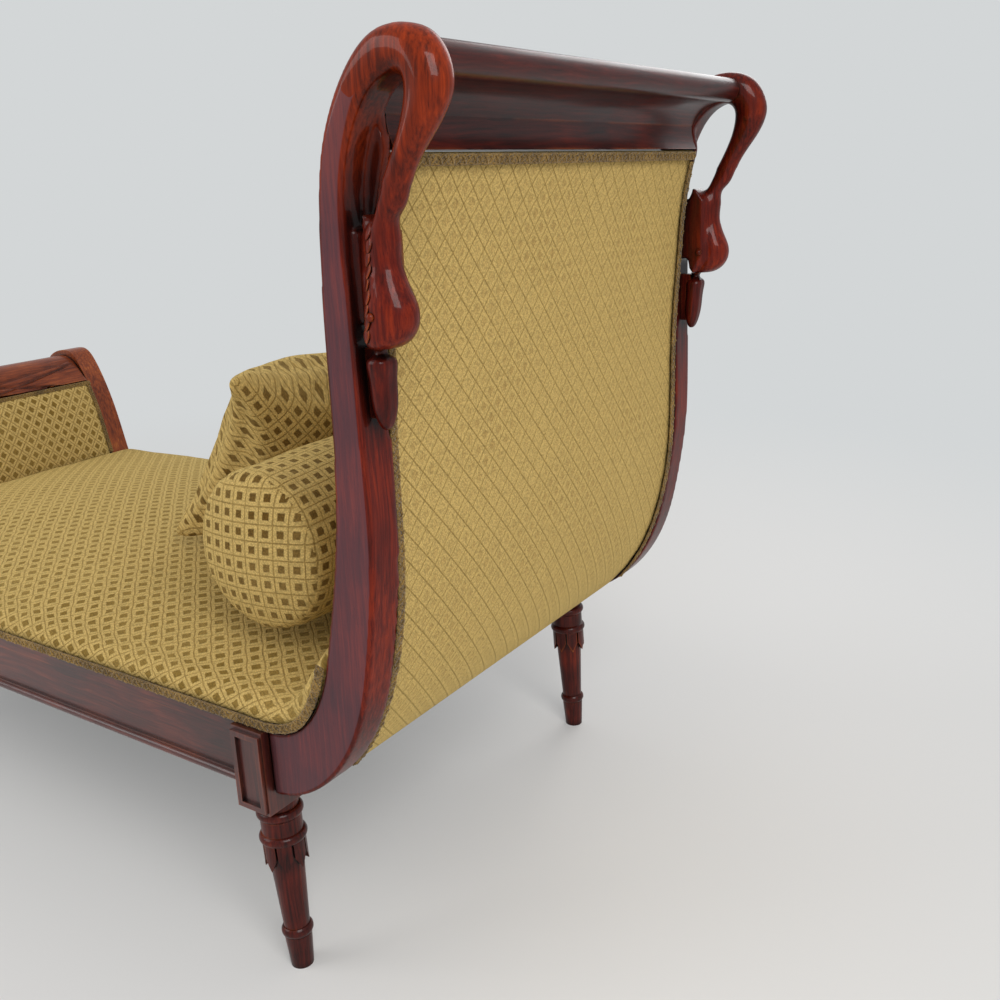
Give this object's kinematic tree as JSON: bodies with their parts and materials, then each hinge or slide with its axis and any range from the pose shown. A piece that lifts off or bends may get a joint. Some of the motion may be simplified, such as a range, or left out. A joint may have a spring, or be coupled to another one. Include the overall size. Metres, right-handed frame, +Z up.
{
  "type": "recamier",
  "caption": "Day bed with a tall upholstered end in swan-neck frames, a low scrolled end, turned legs, a bolster and a cushion.",
  "frame": {"origin": "on the floor, under the middle of the whole piece", "axes": "+X towards the tall swan-neck end, +Y across the seat, +Z up"},
  "size_m": [1.4536, 0.6714, 0.9076],
  "materials": {
    "mahogany": "French-polished dark red mahogany",
    "hidden_beech": "plain sawn hardwood, unpolished",
    "velvet": "olive-gold cut velvet with a lattice of diamonds",
    "braid": "looped olive-brown gimp braid",
    "webbing": "jute webbing",
    "hessian": "plain hessian",
    "dust_cloth": "black cotton cloth",
    "steel_screw": "plain wood screws"
  },
  "bodies": {
    "root": {"long_rail_front": "mahogany", "long_rail_back": "mahogany", "rail_bead_front": "mahogany", "rail_bead_back": "mahogany", "head_board_front": "mahogany", "head_board_back": "mahogany", "swan_neck_front": "mahogany", "swan_neck_back": "mahogany", "swan_head_front": "mahogany", "swan_head_back": "mahogany", "swan_bill_front": "mahogany", "swan_bill_back": "mahogany", "foot_post_front": "mahogany", "foot_post_back": "mahogany", "seat_braid_front": "braid", "seat_braid_back": "braid", "corner_block_head_front": "mahogany", "corner_block_head_back": "mahogany", "corner_block_foot_front": "mahogany", "corner_block_foot_back": "mahogany", "leg_head_front": "mahogany", "leg_head_back": "mahogany", "leg_foot_front": "mahogany", "leg_foot_back": "mahogany", "corner_tablets": "mahogany", "head_end_rail": "hidden_beech", "foot_end_rail": "mahogany", "corner_braces": "hidden_beech", "brace_screws": "steel_screw", "swan_eyes": "mahogany", "head_crest_rail": "mahogany", "head_cove_panel": "mahogany", "head_webbing": "webbing", "head_inner_pad": "velvet", "head_inner_braid": "braid", "head_outer_cover": "velvet", "head_outer_braid": "braid", "foot_crest_rail": "mahogany", "foot_inner_pad": "velvet", "foot_outer_cover": "velvet", "foot_inner_braid": "braid", "seat_webbing_long": "webbing", "seat_webbing_cross": "webbing", "seat_hessian": "hessian", "seat_pad": "velvet", "seat_elbow_pad": "velvet", "dust_cover": "dust_cloth"},
    "bolster": {"bolster": "velvet"},
    "cushion": {"scatter_cushion": "velvet"}
  },
  "joints": [
    {"name": "bolster_lift", "type": "slide", "parent": "root", "child": "bolster", "axis": [0, 0, 1], "range_m": [0, 0.3]},
    {"name": "cushion_lift", "type": "slide", "parent": "bolster", "child": "cushion", "axis": [0, 0, 1], "range_m": [0, 0.3]}
  ]
}
